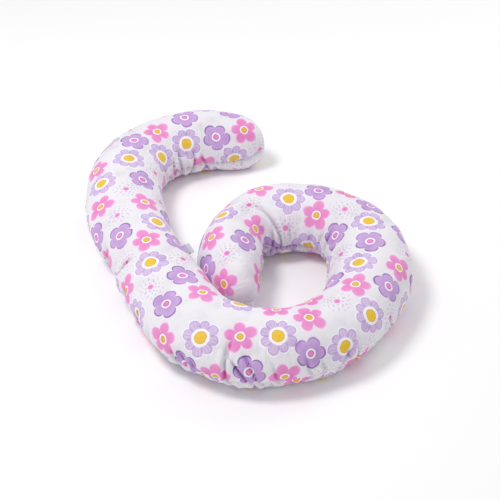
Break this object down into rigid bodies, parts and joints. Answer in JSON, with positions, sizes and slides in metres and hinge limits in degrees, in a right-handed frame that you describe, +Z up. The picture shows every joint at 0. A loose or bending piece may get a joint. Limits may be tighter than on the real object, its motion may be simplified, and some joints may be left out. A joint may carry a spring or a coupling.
{
  "type": "nursing pillow",
  "caption": "Long stuffed support pillow curled into a ring with a free arm, in a zip-off printed cotton cover over a fibre-filled inner casing.",
  "frame": {"origin": "centre of the footprint box, on the floor under the pillow", "axes": "+Z up from the floor; +Y towards the bend of the free arm; +X towards the outer side of the ring. The pillow lies flat, so +Z is its thickness"},
  "size_m": [0.6292, 0.7899, 0.117],
  "materials": {
    "cover_print": "matte printed cotton, off-white ground with pink and lilac flowers",
    "casing_cloth": "matte white woven polyester-cotton",
    "fibre_fill": "loose white siliconised polyester fibre",
    "zip_tape": "woven herringbone polyester tape",
    "zip_coil": "satin nylon coil",
    "zip_stops": "pressed satin aluminium",
    "slider_metal": "white enamelled zinc alloy",
    "label_cloth": "soft satin-woven label cloth"
  },
  "bodies": {
    "ring": {"cover_upper_ring": "cover_print", "cover_lower_ring": "cover_print", "casing_upper_ring": "casing_cloth", "casing_lower_ring": "casing_cloth", "fibre_fill_ring": "fibre_fill", "zip_tape_upper": "zip_tape", "zip_tape_lower": "zip_tape", "zip_coil_upper": "zip_coil", "zip_coil_lower": "zip_coil", "zip_top_stops": "zip_stops", "zip_bottom_stop": "zip_stops"},
    "arm": {"cover_upper_arm": "cover_print", "cover_lower_arm": "cover_print", "casing_upper_arm": "casing_cloth", "casing_lower_arm": "casing_cloth", "fibre_fill_arm": "fibre_fill"},
    "tail": {"cover_upper_tail": "cover_print", "cover_lower_tail": "cover_print", "casing_upper_tail": "casing_cloth", "casing_lower_tail": "casing_cloth", "fibre_fill_tail": "fibre_fill"},
    "slider": {"zip_slider_body": "slider_metal", "zip_slider_bridge": "slider_metal"},
    "pull_tab": {"zip_pull_tab": "slider_metal"},
    "labels": {"care_label": "label_cloth", "woven_label": "label_cloth"}
  },
  "joints": [
    {"name": "arm_flex", "type": "hinge", "parent": "ring", "child": "arm", "pos_m": [-0.15019, -0.142, 0.0585], "axis": [0, 0, 1], "range_deg": [-4, 27]},
    {"name": "tail_flex", "type": "hinge", "parent": "ring", "child": "tail", "pos_m": [-0.00894, -0.00392, 0.0585], "axis": [0, 0, 1], "range_deg": [0, 26]},
    {"name": "slider_travel", "type": "hinge", "parent": "ring", "child": "slider", "pos_m": [0.09999, -0.07307, 0.049], "axis": [0, 0, -1], "range_deg": [0, 81.5]},
    {"name": "pull_tab_flip", "type": "hinge", "parent": "slider", "child": "pull_tab", "pos_m": [0.02676, 0.12185, 0.049], "axis": [0, 0, 1], "range_deg": [0, 170]},
    {"name": "label_flap", "type": "hinge", "parent": "arm", "child": "labels", "pos_m": [-0.11198, -0.04586, 0.049], "axis": [0.3979, -0.9174, 0], "range_deg": [-50, 25], "stiffness_Nm_per_rad": 0.0008}
  ]
}
